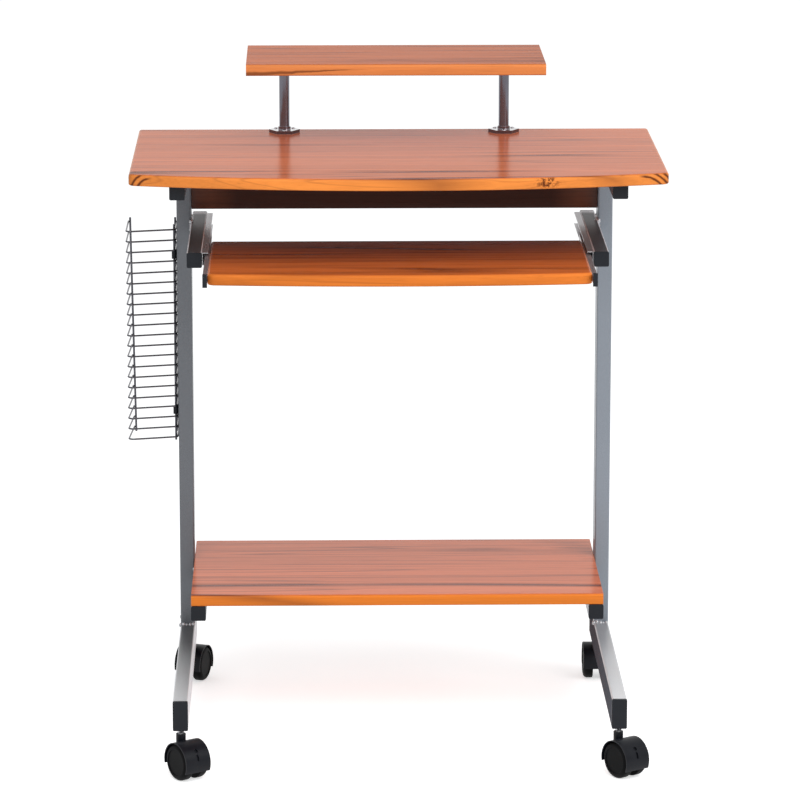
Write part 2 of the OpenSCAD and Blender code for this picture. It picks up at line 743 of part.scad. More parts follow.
module arm_rail_screws() color(chrome) in_frame() for (s = [-1, 1], y = arm_screw_ys)
    outward(s, arm_face_x - rail_t, y, slide_z)
        screw(small_dia, small_head, small_head_t, rail_t + tube_wall + tip_l);

module tray_rail_screws() color(chrome) in_frame() for (s = [-1, 1], y = tray_screw_ys)
    inward(s, tray_half + rail_t, y, slide_z)
        screw(small_dia, small_head, small_head_t, rail_t + bite);

// Casters; each is drawn with its stem at the origin and its wheels behind it, at +Y

module caster_stems() color(chrome) in_frame() for (s = [-1, 1], y = stem_ys)
    translate([s * side_x, y, 0]) {
        translate([0, 0, stem_end])
            cylinder(d = stem_dia, h = caster_h + tube_wall + nut_t + tip_l - stem_end);
        translate([0, 0, caster_h - stem_collar_h])
            cylinder(d1 = stem_collar_low, d2 = nut_dia, h = stem_collar_h);
        translate([0, 0, caster_h + tube_wall]) cylinder(d = nut_dia, h = nut_t, $fn = 6);
    }

// Lays a shape that is drawn round Z along the axle instead
module on_axle() translate([0, caster_trail, wheel_r]) rotate([90, 0, 90]) children();

// The fender over both wheels and the web between them, in [distance from the axle, across]
module hood_section() {
    translate([hood_r - hood_t, -hood_w / 2]) square([hood_t, hood_w]);
    translate([boss_r / 2, -web_t / 2]) square([hood_r - hood_t / 2 - boss_r / 2, web_t]);
}

module neck() difference() {
    translate([0, 0, neck_low]) cylinder(d = neck_dia, h = neck_top - neck_low);
    for (s = [0, 1]) mirror([s, 0, 0]) on_axle() translate([0, 0, web_t / 2 - hood_t / 2])
        cylinder(r = hood_r - hood_t / 2, h = neck_dia);
}

// The round mark in the fender, the slot below it and the groove from it to the fender's rim
module hood_marks() on_axle() {
    rotate([0, 0, mark_turn]) {
        translate([hood_r - mark_depth, 0, 0]) rotate([0, 90, 0])
            cylinder(d = mark_dia, h = 2 * mark_depth);
        translate([hood_r - groove_depth, -groove_w / 2, -hood_w])
            cube([2 * groove_depth, groove_w, hood_w]);
    }
    rotate([0, 0, slot_turn]) translate([hood_r - mark_depth, -slot_l / 2, -slot_w / 2])
        cube([2 * mark_depth, slot_l, slot_w]);
}

module hood(side, front, turn) at_caster(side, front, turn) difference() {
    union() {
        on_axle() rotate([0, 0, -trail_drop])
            rotate_extrude(angle = 180 + trail_drop + stem_drop) hood_section();
        on_axle() cylinder(r = boss_r, h = web_t + wheel_gap, center = true);
        neck();
    }
    on_axle() cylinder(d = axle_dia + 2 * fit, h = web_t + wheel_gap + 2 * past, center = true);
    translate([0, 0, stem_end]) cylinder(d = stem_dia + 2 * fit, h = neck_top);
    hood_marks();
}

module axle(side, front, turn) at_caster(side, front, turn) on_axle()
    cylinder(d = axle_dia, h = web_t + 2 * (wheel_w - wheel_cap), center = true);

// One wheel: a rim round a shallow dish outside, a hub in a recess inside and a blind bore
module wheel(side, front, turn, out) at_caster(side, front, turn) on_axle()
    mirror([0, 0, out ? 0 : 1]) translate([0, 0, web_t / 2 + wheel_gap])
        rotate_extrude() difference() {
            union() {
                translate([0, tread_round]) square([wheel_r, wheel_w - rim_round - tread_round]);
                square([wheel_r - tread_round, wheel_w - rim_round]);
                square([wheel_r - rim_round, wheel_w]);
                translate([wheel_r - rim_round, wheel_w - rim_round]) circle(r = rim_round);
                translate([wheel_r - tread_round, tread_round]) circle(r = tread_round);
            }
            translate([-past, -past]) square([axle_dia / 2 + fit + past, wheel_w - wheel_cap + past]);
            translate([-past, wheel_w - dish]) square([wheel_r - rim_w + past, dish + past]);
            translate([hub_r, -past]) square([wheel_r - hub_r - rim_w, hub_recess + past]);
        }

module at_caster(side, front, turn)
    translate([side * side_x, stem_ys[front ? 0 : 1], 0]) rotate([0, 0, turn]) children();

module front_left_hood() color(black) in_frame() hood(-1, true, front_turn);
module front_right_hood() color(black) in_frame() hood(1, true, front_turn);
module rear_left_hood() color(black) in_frame() hood(-1, false, rear_left_turn);
module rear_right_hood() color(black) in_frame() hood(1, false, rear_right_turn);
module front_left_axle() color(chrome) in_frame() axle(-1, true, front_turn);
module front_right_axle() color(chrome) in_frame() axle(1, true, front_turn);
module rear_left_axle() color(chrome) in_frame() axle(-1, false, rear_left_turn);
module rear_right_axle() color(chrome) in_frame() axle(1, false, rear_right_turn);
module front_left_wheel_a() color(black) in_frame() wheel(-1, true, front_turn, true);
module front_left_wheel_b() color(black) in_frame() wheel(-1, true, front_turn, false);
module front_right_wheel_a() color(black) in_frame() wheel(1, true, front_turn, true);
module front_right_wheel_b() color(black) in_frame() wheel(1, true, front_turn, false);
module rear_left_wheel_a() color(black) in_frame() wheel(-1, false, rear_left_turn, true);
module rear_left_wheel_b() color(black) in_frame() wheel(-1, false, rear_left_turn, false);
module rear_right_wheel_a() color(black) in_frame() wheel(1, false, rear_right_turn, true);
module rear_right_wheel_b() color(black) in_frame() wheel(1, false, rear_right_turn, false);

left_foot();
left_upright();
left_desk_arm();
left_tray_arm();
left_shelf_arm();
right_foot();
right_upright();
right_desk_arm();
right_tray_arm();
right_shelf_arm();
foot_caps();
desk_arm_caps();
tray_arm_caps();
shelf_arm_caps();
desktop();
monitor_shelf();
bottom_shelf();
modesty_panel();
keyboard_tray();
left_post();
right_post();
left_lower_flange();
right_lower_flange();
left_upper_flange();
right_upper_flange();
left_outer_rail();
right_outer_rail();
left_inner_rail();
right_inner_rail();
left_ball_cage();
right_ball_cage();
rail_bumpers();
rack_wires();
rack_rods();
rack_clips();
rack_clip_screws();
desktop_screws();
bottom_shelf_screws();
panel_bolts();
flange_screws();
arm_rail_screws();
tray_rail_screws();
caster_stems();
front_left_hood();
front_left_axle();
front_left_wheel_a();
front_left_wheel_b();
front_right_hood();
front_right_axle();
front_right_wheel_a();
front_right_wheel_b();
rear_left_hood();
rear_left_axle();
rear_left_wheel_a();
rear_left_wheel_b();
rear_right_hood();
rear_right_axle();
rear_right_wheel_a();
rear_right_wheel_b();
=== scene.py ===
"""Rolling computer desk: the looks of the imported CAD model, with its floor, lights and camera.

Everything is in metres, in the frame of the CAD: X across the desk, Y from the user to the
back and Z up from the floor.
"""
import json
import math
import random
import bmesh
import bpy
from mathutils import Matrix, Vector


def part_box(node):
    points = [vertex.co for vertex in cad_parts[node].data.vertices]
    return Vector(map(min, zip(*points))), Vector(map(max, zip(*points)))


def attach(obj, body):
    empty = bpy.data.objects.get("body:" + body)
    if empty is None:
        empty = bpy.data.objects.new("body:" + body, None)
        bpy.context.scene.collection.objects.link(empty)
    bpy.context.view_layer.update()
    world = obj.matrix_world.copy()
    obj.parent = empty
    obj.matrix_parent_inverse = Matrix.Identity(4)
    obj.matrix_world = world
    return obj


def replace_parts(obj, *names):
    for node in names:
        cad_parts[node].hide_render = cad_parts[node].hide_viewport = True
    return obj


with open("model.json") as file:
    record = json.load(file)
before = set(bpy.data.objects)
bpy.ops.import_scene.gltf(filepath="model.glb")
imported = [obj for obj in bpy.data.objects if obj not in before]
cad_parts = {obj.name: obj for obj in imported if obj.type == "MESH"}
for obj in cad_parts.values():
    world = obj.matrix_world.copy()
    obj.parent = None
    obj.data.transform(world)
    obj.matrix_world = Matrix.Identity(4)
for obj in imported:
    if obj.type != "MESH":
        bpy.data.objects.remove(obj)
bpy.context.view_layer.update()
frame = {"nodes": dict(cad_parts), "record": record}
nodes = frame["nodes"]
random.seed(7)


# Material nodes. A span is (low, high) of what goes in, then of what comes out, if not 0..1.

class Graph:
    """Builds the node tree of a material or of the world."""

    def __init__(self, owner, output):
        owner.use_nodes = True
        self.owner = owner
        self.tree = owner.node_tree
        self.tree.nodes.clear()
        self.output = self.add(output)

    def add(self, kind, inputs=None, **settings):
        made = self.tree.nodes.new("ShaderNode" + kind)
        for key, value in settings.items():
            setattr(made, key, value)
        for key, value in (inputs or {}).items():
            self.put(made.inputs[key], value)
        return made

    def put(self, socket, value):
        if isinstance(value, bpy.types.NodeSocket):
            self.tree.links.new(value, socket)
        else:
            socket.default_value = value

    def math(self, operation, a, b=0.0):
        return self.add("Math", {0: a, 1: b}, operation=operation).outputs[0]

    def times(self, a, b):
        return self.math("MULTIPLY", a, b)

    def plus(self, a, b):
        return self.math("ADD", a, b)

    def minus(self, a, b):
        return self.math("SUBTRACT", a, b)

    def size(self, value):
        return self.math("ABSOLUTE", value)

    def most(self, first, *others):
        for other in others:
            first = self.math("MAXIMUM", first, other)
        return first

    def vector(self, operation, a, b=(0.0, 0.0, 0.0)):
        made = self.add("VectorMath", {0: a, 1: b}, operation=operation)
        return made.outputs[1 if operation in ("LENGTH", "DOT_PRODUCT") else 0]

    def parts(self, vector):
        return self.add("SeparateXYZ", {0: vector}).outputs

    def join(self, x, y, z):
        return self.add("CombineXYZ", {"X": x, "Y": y, "Z": z}).outputs[0]

    def place(self):
        return self.add("TexCoord").outputs["Object"]

    def normal(self):
        return self.add("TexCoord").outputs["Normal"]

    def noise(self, at, scale, detail=4.0, rough=0.55):
        made = self.add("TexNoise", {"Vector": at, "Scale": scale, "Detail": detail,
                                     "Roughness": rough})
        return made.outputs["Fac"]

    def span(self, value, low, high, out_low=0.0, out_high=1.0):
        """Maps low..high to out_low..out_high, with the ends held."""
        return self.add("MapRange", {0: value, 1: low, 2: high, 3: out_low, 4: out_high},
                        clamp=True).outputs[0]

    def mix(self, share, a, b):
        return self.add("Mix", {0: share, 6: a, 7: b}, data_type="RGBA").outputs[2]

    def tinge(self, share, base, tone, depth):
        """base where share is 0, and base moved by depth toward tone where it is 1."""
        return self.mix(share, base, self.mix(depth, base, tone))

    def bump(self, height, strength, distance, **below):
        """Relief of a height; below may hold the Normal that it lies on."""
        inputs = {"Height": height, "Strength": strength, "Distance": distance, **below}
        return self.add("Bump", inputs).outputs[0]

    def edges(self, radius, low=0.02, high=0.25):
        """1 along the model's edges and 0 on its faces."""
        soft = self.add("Bevel", {"Radius": radius}, samples=4).outputs[0]
        hard = self.add("NewGeometry").outputs["Normal"]
        return self.span(self.minus(1.0, self.vector("DOT_PRODUCT", soft, hard)), low, high)

    def seen(self):
        """1 for rays from the camera, off gloss and through glass; 0 for those that light."""
        rays = self.add("LightPath").outputs
        return self.most(rays["Is Camera Ray"], rays["Is Glossy Ray"],
                         rays["Is Transmission Ray"])

    def show(self, shader):
        self.tree.links.new(shader.outputs[0], self.output.inputs[0])
        return self.owner

    def surface(self, **inputs):
        return self.show(self.add("BsdfPrincipled", {key.replace("_", " "): value
                                                     for key, value in inputs.items()}))


def material_graph(name):
    return Graph(bpy.data.materials.new(name), "OutputMaterial")


def rgb(red, green, blue):
    """A colour as the photograph's 0..255 numbers, made linear."""
    def linear(c):
        c /= 255
        return c / 12.92 if c <= 0.04045 else ((c + 0.055) / 1.055) ** 2.4
    return (linear(red), linear(green), linear(blue), 1.0)


# Printed wood. A layer's scale is (along, across) the grain.

# Dark streaks of the grain; the tray's and the panel's are also the colours of their painted shade
STREAK, TRAY_STREAK_AND_SHADOW, PANEL_STREAK_AND_SHADE = rgb(84, 38, 31), rgb(72, 28, 14), rgb(42, 20, 15)
# The panel is the boards' wood, painted dark brown as the shade under the desktop
PANEL_SHADE_BROWN = rgb(104, 58, 38)
FIGURE = rgb(74, 30, 18)
# Colour of the painted highlight along the boards' edges
WOOD_HIGHLIGHT = (1.0, 0.82, 0.66, 1.0)
WOOD_TINGE = 0.6
# How far a board's shift moves its print on X, Y and Z, so that no two boards are the same
SHEET_OFFSET = (1.0, 0.7, 0.3)
SWAY_SCALE, SWAY_DEPTH = (2.0, 6.0), 0.012
BAND_SCALE, BAND_SPAN = (1.1, 34.0), (0.34, 0.66, 0.34, 0.0)
FIBRE_SCALE, FIBRE_SPAN = (9.0, 520.0), (0.35, 0.7, 0.0, 0.22)
PORE_SCALE, PORE_DULLNESS = (30.0, 1500.0), (0.3, 0.7, 0.17, 0.25)
DASH_SCALE, DASH_SPAN, DASH_SHARE = (14.0, 640.0), (0.63, 0.72), 0.35
PATCH_SCALE, PATCH_SPAN = (2.6, 12.0), (0.43, 0.56)
LINE_SCALE, LINE_COUNT, LINE_W, LINE_SHARE, LINE_DULLNESS = (0.5, 9.0), 4.0, 0.13, 0.95, 0.06
THIN_SCALE, THIN_COUNT, THIN_W, THIN_SHARE = (0.8, 34.0), 6.0, 0.12, 0.5
TOP_FACES = (0.72, 0.98)
# How strongly the edge (0) and the top (1) show the marks and the figures
EDGE_MARKS, EDGE_FIGURES = (0.0, 1.0, 0.5, 1.0), (0.0, 1.0, 0.9, 0.0)
# Reach, span and share of the painted highlight along the boards' edges
WOOD_HIGHLIGHT_R, WOOD_HIGHLIGHT_SPAN, WOOD_HIGHLIGHT_SHARE = 0.0011, (0.05, 0.3), 0.22
FIBRE_HEIGHT, PORE_HEIGHT = 0.6, 0.4
GRAIN_STRENGTH, GRAIN_DEPTH = 0.05, 0.0003
LACQUER_SCALE, LACQUER_STRENGTH, LACQUER_DEPTH = 160.0, 0.03, 0.0006


def stretched(g, at, scale, detail=2.0, rough=0.5):
    """Noise that is drawn out along X, as grain is."""
    along, across = scale
    return g.noise(g.vector("MULTIPLY", at, (along, across, across)), 1.0, detail, rough)


def grain_lines(g, bent, scale, count, width):
    """Thin lines that follow the level curves of a drawn-out noise."""
    turn = g.math("FRACT", g.times(stretched(g, bent, scale, 1.0, 0.4), count))
    return g.span(g.size(g.minus(turn, 0.5)), 0.0, width, 1.0, 0.0)


def grain_layers(g, shift):
    """The noises of bands, fibre and pores, and the long lines, thin lines and dashes."""
    at = g.vector("ADD", g.place(), tuple(shift * share for share in SHEET_OFFSET))
    lift = g.times(g.minus(stretched(g, at, SWAY_SCALE, 1.0), 0.5), SWAY_DEPTH)
    bent = g.vector("ADD", at, g.join(0.0, lift, lift))
    patch = g.span(stretched(g, at, PATCH_SCALE), *PATCH_SPAN)
    return {"bands": stretched(g, bent, BAND_SCALE),
            "fibre": stretched(g, bent, FIBRE_SCALE, 4.0, 0.6),
            "pores": stretched(g, bent, PORE_SCALE),
            "dashes": g.span(stretched(g, bent, DASH_SCALE, 1.0), *DASH_SPAN),
            "lines": g.times(grain_lines(g, bent, LINE_SCALE, LINE_COUNT, LINE_W), patch),
            "thin": grain_lines(g, bent, THIN_SCALE, THIN_COUNT, THIN_W)}


def wood_relief(g, layers):
    """The grain's own relief on the slow waves of the lacquer."""
    height = g.plus(g.times(layers["fibre"], FIBRE_HEIGHT), g.times(layers["pores"], PORE_HEIGHT))
    lacquer = g.bump(g.noise(g.place(), LACQUER_SCALE, 2.0), LACQUER_STRENGTH, LACQUER_DEPTH)
    return g.bump(height, GRAIN_STRENGTH, GRAIN_DEPTH, Normal=lacquer)


def wood(name, top, edge, streak_and_shade, shift, sheen, figures=None, shade=None):
    """Printed wood: grain along X, long dark streaks and a painted highlight on the edges.

    The top and the edge faces have two colours of one laminate, a painted light: the edges a
    brighter orange, the top duller and pinker, as under a sheen. figures makes more dark marks for
    the edge;
    shade is (axis, middle, near, far, share): a painted shade, where the colour goes toward the
    streaks' between two distances from the middle.
    """
    g = material_graph(name)
    layers = grain_layers(g, shift)
    on_top = g.span(g.size(g.parts(g.normal())["Z"]), *TOP_FACES)
    # Painted light: the edge faces and the top get different colours of one laminate
    color = g.mix(on_top, edge, top)
    # Painted shade: toward the streaks' colour between two distances from the middle
    if shade:
        axis, middle, near, far, share = shade
        away = g.size(g.minus(g.parts(g.place())[axis], middle))
        color = g.mix(g.span(away, near, far, 0.0, share), color, streak_and_shade)
    color = g.tinge(g.span(layers["bands"], *BAND_SPAN), color, streak_and_shade, WOOD_TINGE)
    color = g.tinge(g.span(layers["fibre"], *FIBRE_SPAN), color, streak_and_shade, WOOD_TINGE)
    marks = g.most(g.times(layers["lines"], LINE_SHARE), g.times(layers["thin"], THIN_SHARE),
                   g.times(layers["dashes"], DASH_SHARE))
    color = g.mix(g.times(marks, g.span(on_top, *EDGE_MARKS)), color, streak_and_shade)
    if figures:
        color = g.mix(g.times(figures(g), g.span(on_top, *EDGE_FIGURES)), color, FIGURE)
    # Painted highlight along the edges
    highlighted_rim = g.times(g.edges(WOOD_HIGHLIGHT_R, *WOOD_HIGHLIGHT_SPAN), WOOD_HIGHLIGHT_SHARE)
    color = g.tinge(highlighted_rim, color, WOOD_HIGHLIGHT, WOOD_TINGE)
    rough = g.plus(g.span(layers["pores"], *PORE_DULLNESS), g.times(layers["lines"], LINE_DULLNESS))
    return g.surface(Base_Color=color, Roughness=rough, Normal=wood_relief(g, layers),
                     Specular_IOR_Level=sheen)


# Dark figures on the front edges of the desktop and the monitor shelf

RING_W = 0.0022
RING_RAG_SCALE = 130.0
RING_SIDE, RING_FRONT = (-0.002, 0.006), (-0.14, -0.12, 1.0, 0.0)
# The rings' middle on X and Z, their radii, and the side of the middle where they show
LEFT_RINGS = (-0.312, 0.767, (0.020, 0.0275), -1.0)
RIGHT_RINGS = (0.320, 0.749, (0.0395, 0.0465, 0.0525), 1.0)
KNOT_AT, KNOT_SQUEEZE, KNOT_SPAN = (0.199, -0.2, 0.784), (48.0, 30.0, 80.0), (0.45, 1.0, 1.0, 0.0)
SPECK_SCALE, SPECK_SPAN, SPECK_CROWD = 230.0, (0.54, 0.64), 0.12
WEDGE_START, WEDGE_END, WEDGE_FADE = -0.192, -0.045, 0.02
WEDGE_Z, WEDGE_HALF, WEDGE_SHARE = (0.8915, 0.8975), (0.0032, 0.0004), 0.75
WEDGE_RAG_SCALE, WEDGE_RAG, WEDGE_RIM = 60.0, 0.003, (0.4, 1.3, 1.0, 0.0)


def rings(g, middle_x, middle_z, radii, side):
    """Curved dark grain at a front corner's edge: rings about a line along Y, on one side."""
    x, y, z = g.parts(g.place())
    from_middle = g.minus(x, middle_x)
    ragged = g.times(g.noise(g.place(), RING_RAG_SCALE, 2.0), RING_W)
    reach = g.plus(g.vector("LENGTH", g.join(from_middle, 0.0, g.minus(z, middle_z))), ragged)
    here = g.times(g.span(g.times(from_middle, side), *RING_SIDE), g.span(y, *RING_FRONT))
    total = 0.0
    for radius in radii:
        off = g.size(g.minus(reach, radius))
        total = g.most(total, g.span(off, RING_W * 0.25, RING_W, 1.0, 0.0))
    return g.times(total, here)


def knot(g):
    """A cluster of dark specks round a point."""
    away = g.vector("MULTIPLY", g.vector("SUBTRACT", g.place(), KNOT_AT), KNOT_SQUEEZE)
    near = g.span(g.vector("LENGTH", away), *KNOT_SPAN)
    specks = g.plus(g.noise(g.place(), SPECK_SCALE, 4.0, 0.65), g.times(near, SPECK_CROWD))
    return g.times(g.span(specks, *SPECK_SPAN), near)


def desktop_figures(g):
    return g.most(rings(g, *LEFT_RINGS), rings(g, *RIGHT_RINGS), knot(g))


def shelf_figures(g):
    """A dark wedge low on the left of the front edge, which rises and narrows to a line."""
    x, _, z = g.parts(g.place())
    ragged = g.times(g.minus(g.noise(g.place(), WEDGE_RAG_SCALE, 3.0), 0.5), WEDGE_RAG)
    middle = g.plus(g.span(x, WEDGE_START, WEDGE_END, *WEDGE_Z), ragged)
    half = g.span(x, WEDGE_START, WEDGE_END, *WEDGE_HALF)
    inside = g.span(g.math("DIVIDE", g.size(g.minus(z, middle)), half), *WEDGE_RIM)
    fade = g.span(x, WEDGE_END - WEDGE_FADE, WEDGE_END + WEDGE_FADE, 1.0, 0.0)
    return g.times(g.times(inside, fade), WEDGE_SHARE)


# Silver paint

# The frame's paint is painted darker on the left as shade and paler on the right as light
SHADED_SILVER, SILVER = rgb(90, 93, 98), rgb(124, 131, 140)
CLOUD_SCALE, CLOUD_SPAN, CLOUD_GREY, CLOUD_TINGE = 9.0, (0.3, 0.7, 0.0, 0.2), rgb(70, 73, 78), 0.4
GRIT_SCALE, GRIT_SPAN, GRIT_GREY, GRIT_TINGE = 700.0, (0.45, 0.7, 0.0, 0.25), rgb(80, 82, 86), 0.5
FLAKE_SCALE, FLAKE_SPAN, FLAKE_GREY = 2600.0, (0.5, 0.75, 0.0, 0.25), rgb(200, 204, 208)
# Roughness of the flakes, and what the painted highlight adds to it
FLAKE_DULLNESS, PAINT_HIGHLIGHT_DULLNESS = (0.3, 0.7, 0.28, 0.40), 0.05
# The painted highlight on edges and rounded corners: colour, reach, share on edges, corners' span
PAINT_HIGHLIGHT, PAINT_HIGHLIGHT_R, PAINT_HIGHLIGHT_EDGE, PAINT_HIGHLIGHT_CORNER = rgb(232, 233, 236), 0.0012, 0.5, (0.2, 0.45)
SIDE_FACES = (0.75, 0.95)
PEEL_SCALE, PEEL_STRENGTH, PEEL_DEPTH = 420.0, 0.08, 0.0005


def paint(name, color, end_tone, axis, start, end, metal=0.5, sheen=0.5, highlight_share=0.5, side=None):
    """Silver powder paint: small bright flakes, faint orange peel and a painted highlight on the
    edges and rounded corners.

    The tone goes from color at start to the second tone at end, along an axis: painted light
    and shade. side is (way, tone, gloss): the faces that look along way on X have that tone,
    a painted light and shade of one side, with metal and sheen times gloss; the faces that look
    the other way are SILVER.
    """
    g = material_graph(name)
    nx, _, nz = g.parts(g.normal())
    # Painted highlight along the edges and the tubes' rounded corners
    corner = g.span(g.math("MINIMUM", g.size(nx), g.size(nz)), *PAINT_HIGHLIGHT_CORNER)
    highlight_mask = g.most(g.times(g.edges(PAINT_HIGHLIGHT_R), PAINT_HIGHLIGHT_EDGE), corner)
    # Painted light and shade: the tone changes along one axis
    base = g.mix(g.span(g.parts(g.place())[axis], start, end), color, end_tone)
    # Painted light and shade on the faces that look one way on X; the others plain silver
    if side:
        way, tone, gloss = side
        inner = g.span(g.times(nx, way), *SIDE_FACES)
        outer = g.span(g.times(nx, -way), *SIDE_FACES)
        base = g.mix(outer, g.mix(inner, base, tone), SILVER)
        if gloss < 1.0:
            metal = g.span(inner, 0.0, 1.0, metal, metal * gloss)
            sheen = g.span(inner, 0.0, 1.0, sheen, sheen * gloss)
    flakes = g.noise(g.place(), FLAKE_SCALE, 2.0)
    grit = g.noise(g.place(), GRIT_SCALE, 4.0, 0.7)
    cloud = g.noise(g.place(), CLOUD_SCALE, 3.0)
    base = g.tinge(g.span(cloud, *CLOUD_SPAN), base, CLOUD_GREY, CLOUD_TINGE)
    base = g.tinge(g.span(grit, *GRIT_SPAN), base, GRIT_GREY, GRIT_TINGE)
    base = g.mix(g.span(flakes, *FLAKE_SPAN), base, FLAKE_GREY)
    # The painted highlight's colour, as strong as the highlight share
    base = g.mix(g.times(highlight_mask, highlight_share), base, PAINT_HIGHLIGHT)
    rough = g.plus(g.span(flakes, *FLAKE_DULLNESS), g.times(highlight_mask, PAINT_HIGHLIGHT_DULLNESS))
    normal = g.bump(g.noise(g.place(), PEEL_SCALE, 2.0), PEEL_STRENGTH, PEEL_DEPTH)
    return g.surface(Base_Color=base, Metallic=metal, Roughness=rough, Normal=normal,
                     Specular_IOR_Level=sheen)


# Plating

SMEAR_SCALE, SMEAR_SPAN, SMEAR_GREY, SMEAR_TINGE = 35.0, (0.35, 0.7), rgb(60, 58, 60), 0.5
# Colour of the painted highlight on metal edges
METAL_HIGHLIGHT = rgb(240, 240, 242)
FLAT_FACES = (0.2, 0.7)
MARK_SPAN, MARK_DEPTH = (0.3, 0.7), 0.0002


def plate(name, color, rough, along=(1.0, 1.0, 1.0), scale=900.0, cloudy=0.3, dents=0.04,
          metal=1.0, highlight_share=0.5, highlight_r=0.0006, upright_shade=None):
    """Plated metal with fine marks that run across the way of along's larger numbers.

    rough is (low, high); the edges get a painted highlight, as strong as the third-last argument
    and reaching as far as the second-last; the last is a painted shade of upright faces, where it
    differs.
    """
    g = material_graph(name)
    marks = g.noise(g.vector("MULTIPLY", g.place(), along), scale, 3.0)
    smear = g.span(g.noise(g.place(), SMEAR_SCALE, 3.0), *SMEAR_SPAN, 0.0, cloudy)
    # Painted shade on the upright faces
    if upright_shade:
        color = g.mix(g.span(g.size(g.parts(g.normal())["Z"]), *FLAT_FACES), upright_shade, color)
    base = g.tinge(smear, color, SMEAR_GREY, SMEAR_TINGE)
    # Painted highlight along the edges
    base = g.mix(g.times(g.edges(highlight_r), highlight_share), base, METAL_HIGHLIGHT)
    return g.surface(Base_Color=base, Metallic=metal, Roughness=g.span(marks, *MARK_SPAN, *rough),
                     Normal=g.bump(marks, dents, MARK_DEPTH))


# Black plastic

SPARK_SCALE, SPARK_SPAN, SPARK_STRENGTH, SPARK_DEPTH = 1400.0, (0.3, 0.7), 0.12, 0.0003
MOULD_SCALE, MOULD_SPAN, MOULD_GREY, MOULD_TINGE = 40.0, (0.35, 0.7, 0.0, 0.2), rgb(48, 50, 54), 0.5
EDGE_R, EDGE_GREY = 0.0010, rgb(84, 86, 92)


def plastic(name, color, rough, edge=0.2, sheen=0.2):
    """Black moulded plastic: fine spark texture and paler edges; rough is (low, high)."""
    g = material_graph(name)
    spark = g.noise(g.place(), SPARK_SCALE, 3.0)
    cloud = g.span(g.noise(g.place(), MOULD_SCALE, 3.0), *MOULD_SPAN)
    base = g.mix(g.times(g.edges(EDGE_R), edge), color, EDGE_GREY)
    base = g.tinge(cloud, base, MOULD_GREY, MOULD_TINGE)
    return g.surface(Base_Color=base, Roughness=g.span(spark, *SPARK_SPAN, *rough),
                     Normal=g.bump(spark, SPARK_STRENGTH, SPARK_DEPTH), Specular_IOR_Level=sheen)


# Materials of the CAD nodes

# Each board's top and edge colours are painted light: brighter orange edges, duller pinker tops
top_wood = wood("desktop_wood", rgb(216, 112, 58), rgb(236, 142, 66), STREAK, shift=0.0,
                sheen=0.04, figures=desktop_figures)
shelf_wood = wood("monitor_shelf_wood", rgb(202, 103, 46), rgb(228, 140, 80), STREAK, shift=3.1,
                  sheen=0.01, figures=shelf_figures)
bottom_wood = wood("bottom_shelf_wood", rgb(226, 124, 82), rgb(233, 129, 42), STREAK, shift=5.7,
                   sheen=0.11)
# The tray: a painted shadow of the desktop, darker from the front edge toward the back
tray_wood = wood("keyboard_tray_wood", rgb(208, 108, 50), rgb(231, 128, 52), TRAY_STREAK_AND_SHADOW,
                 shift=8.3, sheen=0.04, shade=("Y", -0.24, 0.05, 0.26, 0.8))
# The panel: painted shade, darkest in the middle, and lighter at both ends as painted light
panel_wood = wood("panel_wood", PANEL_SHADE_BROWN, PANEL_SHADE_BROWN, PANEL_STREAK_AND_SHADE, shift=11.9, sheen=0.2,
                  shade=("X", 0.0086, 0.25, 0.215, 0.8))

# The frame: painted shade toward the left, painted light toward the right
silver = paint("silver_paint", SHADED_SILVER, SILVER, "X", -0.25, 0.27)
# Feet: painted light at the front, painted shade toward the back; the left foot's inner faces
# painted light, the right foot's painted shade without gloss
left_foot_paint = paint("left_foot_paint", rgb(208, 210, 212), rgb(92, 95, 97), "Y", -0.25, 0.05,
                        side=(1.0, rgb(206, 207, 211), 1.0))
right_foot_paint = paint("right_foot_paint", rgb(226, 228, 230), rgb(186, 189, 192), "Y", -0.22,
                         0.06, side=(-1.0, rgb(98, 101, 109), 0.0))
# Tray arms: painted shade under the desktop, painted light on their rear ends
arm_paint = paint("arm_paint", rgb(60, 58, 60), rgb(206, 207, 212), "Y", 0.196, 0.210,
                  metal=0.0, sheen=0.05, highlight_share=0.9)
bead_paint = paint("bead_paint", rgb(186, 188, 192), rgb(186, 188, 192), "X", -0.3, 0.3)

chrome = plate("chrome_plate", rgb(114, 113, 122), (0.10, 0.16), metal=0.85)
# Flanges: the upright faces painted darker as shade
flange_plate = plate("flange_plate", rgb(212, 211, 213), (0.08, 0.16), cloudy=0.15, highlight_share=0.7,
                     upright_shade=rgb(112, 98, 102))
wire_plate = plate("wire_plate", rgb(86, 86, 91), (0.16, 0.28))
zinc = plate("zinc_strip", rgb(150, 147, 150), (0.26, 0.34), along=(1.0, 0.05, 1.0), scale=260.0,
             cloudy=0.05, dents=0.002, metal=0.5, highlight_share=0.9, highlight_r=0.0013)
fastener = plate("zinc_fastener", rgb(186, 186, 190), (0.2, 0.34))

cap_plastic = plastic("cap_plastic", rgb(18, 21, 27), (0.36, 0.48), edge=0.12)
caster_plastic = plastic("caster_plastic", rgb(11, 13, 20), (0.32, 0.42), sheen=0.16)
wheel_plastic = plastic("wheel_plastic", rgb(7, 7, 8), (0.45, 0.55), sheen=0.06)

